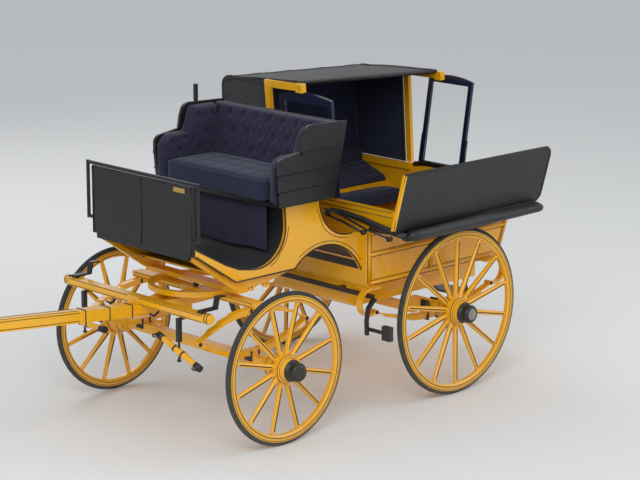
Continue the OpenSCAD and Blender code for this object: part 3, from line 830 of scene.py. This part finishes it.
# %% [markdown]
# ## Raised half of the hood
# Thick leather stretched over bows: it sags a little between them, turns down over the side with a
# soft shoulder, and its edges carry a beaded welt. The section is lofted from front to rear, with
# the sag added where no bow lies, and a second layer makes the lining.

# %% Roof and side of the raised half
section = [(-0.010, 1.972), (-0.12, 1.970), (-0.26, 1.964), (-0.40, 1.957), (-0.52, 1.947),
           (-0.62, 1.935)]
section += [(y, z) for y, z in arc(-0.690, 1.864, 0.070, 80, 176, 8)]
section += [(-0.766, 1.81), (-0.770, 1.70), (-0.773, 1.58), (-0.775, 1.45), (-0.776, 1.34),
            (-0.776, 1.253)]
bows = [-0.55, -0.25, 0.05, 0.33, 0.60]
outer, steps = [], 66
for i in range(steps + 1):
    t = i / steps
    row = []
    for k, (y, z) in enumerate(section):
        height = (z - ELBOW_Z) / HOOD_RISE
        x0, x1 = -0.692 + 0.048 * height, 0.520 + 0.075 * height
        x = x0 + (x1 - x0) * t
        drop = 0.058 * (1 - t) * min(1, max(0, height)) ** 2
        nearest = min(abs(x - b) for b in bows)
        sag = 0.007 * (1 - math.exp(-(nearest / 0.05) ** 2)) * (0.4 if 0 < k < len(section) - 1 else 0)
        normal_y = 0.0 if z > 1.9 else 1.0
        row.append((x, y + sag * normal_y, z - drop - sag * (1 - normal_y)))
    outer.append(row)
rings = []
for row in outer:
    inner = [(x, y + 0.012 * (1.0 if z < 1.87 else 0.3), z - (0.012 if z > 1.80 else 0.0))
             for x, y, z in row[::-1]]
    rings.append([at(*p) for p in row + inner])
hood = Pile().solid(rings).make("raised_hood_leather", HOOD, "body", "black_leather")
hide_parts("hood_right")


# %% Front and rear quarters
def quarter(name, x_low, x_high, top, face):
    """The leather panel between the side and the pillar, slightly hollow between its edges."""
    cols, rows = 20, 34
    layers = []
    for layer in (0, 1):
        for j in range(rows + 1):
            v = j / rows
            for i in range(cols + 1):
                u = i / cols
                y = -0.762 + 0.440 * u
                cut = 0.09 * max(0, 1 - u / 0.18) ** 2
                z = 1.253 + (top - 1.253 - cut) * v
                h = (z - ELBOW_Z) / HOOD_RISE
                belly = 0.010 * math.sin(math.pi * u) * math.sin(math.pi * v)
                x = x_low + (x_high - x_low) * h + face * ((0.004 if layer else -0.004) - belly)
                layers.append(at(x, y, z))
    obj = piece(name, layers, two_layers(cols, rows), HOOD, "body")
    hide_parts("hood_right")


quarter("front_quarter_leather", 0.527, 0.597, 1.945, 1)
quarter("rear_quarter_leather", -0.688, -0.640, 1.888, -1)
hood_studs = []
for k in range(9):
    z = 1.29 + 0.075 * k
    h = (z - ELBOW_Z) / HOOD_RISE
    hood_studs.append((at(0.527 + 0.070 * h + 0.004, -0.338, z), (1, 0, 0.1)))
    hood_studs.append((at(0.527 + 0.070 * h + 0.004, -0.735, z if z < 1.80 else 1.80), (1, 0, 0.1)))
for k in range(14):
    y = -0.70 + 0.365 * k / 13
    hood_studs.append((at(0.5985, y, 1.925 - 0.25 * max(0, -0.62 - y)), (1, 0, 0.1)))
studs("hood_studs", hood_studs, 0.006, 0.6, IRON, "body")
welt = Pile()
welt.tube([at(*p) for p in outer[-1]], 0.009, 8)
welt.tube([at(*p) for p in outer[0]], 0.009, 8)
welt.tube([at(*row[0]) for row in outer], 0.009, 8)
welt.tube([at(*row[8]) for row in outer], 0.005, 8)
welt.make("hood_welts", HIDE, "body", "black_leather")

# %% Cloth lining of the raised half
lining_rings = []
for row in outer[1:-1]:
    face = [(x, min(-0.03, y + 0.016 * (1.0 if z < 1.89 else 0.4)), z - (0.017 if z > 1.82 else 0.0))
            for x, y, z in row]
    back = [(x, y + 0.003 * (1.0 if z < 1.87 else 0.0), z - 0.003) for x, y, z in face[::-1]]
    lining_rings.append([at(*p) for p in face + back])
Pile().solid(lining_rings).make("raised_hood_lining", COOL, "body", "navy_cloth")
for name, x_low, x_high, top in (("front_quarter_lining", 0.516, 0.586, 1.925),
                                 ("rear_quarter_lining", -0.677, -0.629, 1.868)):
    rings = [[at(x_low + (x_high - x_low) * (z - ELBOW_Z) / HOOD_RISE + dx, y, z)
              for y, z in ((-0.752, 1.256), (-0.345, 1.256), (-0.345, top), (-0.70, top - 0.01),
                           (-0.748, top - 0.07))]
             for dx in (-0.003, 0.003)]
    Pile().solid(rings).make(name, COOL, "body", "navy_cloth", smooth=False)
print("hood lined")

# %% [markdown]
# ## Lowered half of the hood
# Folded down, the roof's stiff edge stands outside the elbow and the side leather hangs below it in
# soft rolls that lie on the rail. The stiff part is a rounded plate; each roll is a closed tube of
# leather whose radius and height wander slowly along its length.

# %% Stiff panel
panel = []
outline = [(0.655, 0.0), (0.655, 1.0), (-0.60, 1.0)]
outline += [(-0.640 + 0.06 * math.cos(a), 0.82 + 0.18 * math.sin(a))
            for a in (math.radians(t) for t in range(90, 181, 15))]
outline += [(-0.700, 0.30)] + [(-0.640 + 0.06 * math.cos(a), 0.18 + 0.18 * math.sin(a))
                               for a in (math.radians(t) for t in range(180, 271, 15))]
lo_y, hi_y, lo_z, hi_z = 0.846, 0.946, 1.160, 1.530
for shift in (-0.008, 0.008):
    panel.append([at(x, lo_y + (hi_y - lo_y) * h + shift, lo_z + (hi_z - lo_z) * h) for x, h in outline])
lowered = Pile().solid(panel).make("lowered_hood_panel", HOOD, "body", "black_leather", smooth=False)
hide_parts("hood_left_folded")
bevel = lowered.modifiers.new("bevel", "BEVEL")
bevel.width, bevel.segments, bevel.limit_method = 0.003, 2, "ANGLE"
edge_welt = Pile()
edge_welt.tube([at(x, lo_y + (hi_y - lo_y) * h + 0.004, lo_z + (hi_z - lo_z) * h) for x, h in outline],
               0.009, 8, closed=True)
edge_welt.make("lowered_hood_welt", HIDE, "body", "black_leather")

# %% Rolls of folded leather
rolls = Pile()
for number, (y, z, ry, rz, x0, x1) in enumerate(((0.885, 1.128, 0.046, 0.036, -0.690, 0.560),
                                                 (0.825, 1.108, 0.044, 0.026, -0.680, 0.545),
                                                 (0.806, 1.146, 0.020, 0.020, -0.670, 0.540))):
    rings = []
    for i in range(73):
        t = i / 72
        x = x0 + (x1 - x0) * t
        tip = min(t, 1 - t) / 0.05
        end = math.sqrt(max(0.0, 1 - (1 - tip) ** 2)) if tip < 1 else 1
        wob = 0.5 * math.sin(9 * t + 2.1 * number) + 0.3 * math.sin(23 * t + number)
        rings.append([at(x, y + 0.004 * wob + ry * max(end, 0.05) * (1 + 0.08 * wob) * math.cos(a),
                         z + 0.003 * wob + rz * max(end, 0.05) * (1 - 0.08 * wob) * math.sin(a)
                         * (1 + 0.12 * math.cos(3 * a + 4 * t)))
                      for a in (2 * math.pi * k / 28 for k in range(28))])
    rolls.solid(rings)
front_run = [(0.600, 0.885, 1.128, 0.8), (0.610, 0.70, 1.150, 1.0), (0.602, 0.50, 1.180, 0.9),
             (0.600, 0.33, 1.196, 0.75), (0.590, 0.22, 1.200, 0.3)]
rings = []
for x, y, z, fat in front_run:
    rings.append([at(x - 0.025 + 0.030 * fat * math.cos(a), y, z + 0.022 * fat * math.sin(a))
                  for a in (2 * math.pi * k / 20 for k in range(20))])
rolls.solid(rings)
roll_piece = rolls.make("lowered_hood_rolls", HOOD, "body", "black_leather")
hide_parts("hood_left_folded")

# %% Joint irons of the lowered half
joints = Pile()
joints.tube([at(0.640, 0.28, 1.175), at(0.652, 0.42, 1.160), at(0.655, 0.60, 1.120)], 0.008, 8)
joints.tube([at(0.640, 0.24, 1.215), at(0.648, 0.40, 1.200), at(0.655, 0.62, 1.145),
             at(0.650, 0.80, 1.120)], 0.007, 8)
for x, y, z in ((0.640, 0.27, 1.190), (0.652, 0.60, 1.122), (0.652, 0.82, 1.116)):
    joints.tube([at(x - 0.014, y, z), at(x + 0.012, y, z)], 0.016, 16)
joints.make("hood_joint_irons", IRON, "body", "black_iron")

# %% [markdown]
# ## Glass, dash and small fittings
# The panes lean with their frames, the dash shows its seams and a plate, and the door has its pad.

# %% Window panes
for name, x, half, z0, z1, lean, body in (("front_pane", 0.504, 0.196, 1.294, 1.842, 5.6, "body"),
                                          ("door_pane", -0.690, 0.166, 1.278, 1.822, -9.0, "rear_door")):
    k = math.tan(math.radians(lean))
    rings = []
    for dx in (-0.002, 0.002):
        rings.append([at(x + dx + (z - ELBOW_Z) * k, y, z)
                      for y, z in ((-half, z0), (half, z0), (half, z1), (-half, z1))])
    Pile().solid(rings).make(name, PANE, body, "navy_paint", smooth=False)

# %% Dash seams, welt and plate
dash = Pile()
for x in (1.9185, 1.8975):
    dash.tube([at(x, 0, 1.155), at(x, 0, 1.56)], 0.004, 8)
    for y in (-0.452, 0.452):
        dash.tube([at(x, y, 1.155), at(x, y, 1.562)], 0.005, 8)
    dash.tube([at(x, -0.452, 1.559), at(x, 0.452, 1.559)], 0.005, 8)
dash.make("dash_seams", HIDE, "body", "black_leather")
plate = Pile().box((1.919, 0.30, 1.520), (1.9215, 0.40, 1.548))
plate.make("dash_plate", BRASS, "body", "bright_metal", smooth=False)

# %% Door top pad and glass guides
pad_top = Pile()
pad_top.tube([at(-0.692, y, 1.262 - 0.02 * abs(y / 0.24) ** 3)
              for y in (-0.24, -0.16, -0.08, 0, 0.08, 0.16, 0.24)], 0.021, 14)
pad_top.tube([at(-0.700, 0.02, 1.268), at(-0.718, 0.02, 1.20), at(-0.716, 0.03, 1.08)], 0.02,
             flat=(0.02, 0.002, (1, 0, 0)))
pad_top.make("door_top_pad", HIDE, "rear_door", "black_leather")
guides = Pile()
lean_back = math.tan(math.radians(9))
for s in (1, -1):
    guides.tube([at(-0.690 - (z - ELBOW_Z) * lean_back, s * 0.199, z) for z in (1.25, 1.46)], 0.009, 10)
guides.make("glass_guides", IRON, "rear_door", "black_iron")

# %% Door mouldings
door = Pile()
X = -0.7095
for run in ([(-0.24, 0.75), (0.24, 0.75)], [(-0.24, 0.75), (-0.24, 1.20)], [(0.24, 0.75), (0.24, 1.20)],
            [(-0.24, 1.20), (0.24, 1.20)], [(-0.24, 0.98), (0.24, 0.98)]):
    door.tube([at(X, y, z) for y, z in run], 0.007, 8)
door.make("door_mouldings", YELLOW, "rear_door", "yellow_wood")

# %% [markdown]
# ## Camera, floor and light
# Soft light from a large lamp on each side and a bright even world show the enamel's colour plainly.

# %% Camera
camera = bpy.data.objects.new("camera", bpy.data.cameras.new("camera"))
scene.collection.objects.link(camera)
camera.data.lens, camera.data.sensor_width = 125.5, 36.0
azimuth, down, roll = -2.343, 0.231, 0.002
forward = Vector((math.cos(down) * math.cos(azimuth), math.cos(down) * math.sin(azimuth),
                  -math.sin(down)))
camera.location = at(10.145, 9.964, 4.209)
level = forward.to_track_quat("-Z", "Y").to_matrix()
camera.rotation_euler = (level @ Matrix.Rotation(roll, 3, "Z")).to_euler()
camera.data.clip_end = 100
scene.camera = camera
print("camera at", [round(c, 2) for c in camera.location])

# %% Floor and light
bpy.ops.mesh.primitive_plane_add(size=80)
floor = bpy.context.object
floor.name = "floor"
pale = bpy.data.materials.new("pale floor")
pale.use_nodes = True
tree = pale.node_tree
fill(tree, tree.nodes["Principled BSDF"], {"Base Color": (0.80, 0.80, 0.79, 1), "Roughness": 0.9})
floor.data.materials.append(pale)

world = bpy.data.worlds.new("studio")
scene.world = world
world.use_nodes = True
fill(world.node_tree, world.node_tree.nodes["Background"],
     {"Color": (0.93, 0.96, 1.0, 1), "Strength": 0.62})
for name, place, size, power in (("key", (5.5, 6.0, 6.5), 5.0, 400), ("fill", (-6, 5, 5), 6.0, 120),
                                 ("back", (-3, -7, 6), 5.0, 130)):
    lamp = bpy.data.objects.new(name, bpy.data.lights.new(name, "AREA"))
    lamp.data.energy, lamp.data.size = power, size
    lamp.location = place
    lamp.rotation_euler = (Vector((0, 0, 0.8)) - Vector(place)).to_track_quat("-Z", "Y").to_euler()
    scene.collection.objects.link(lamp)
scene.view_settings.view_transform = "Standard"
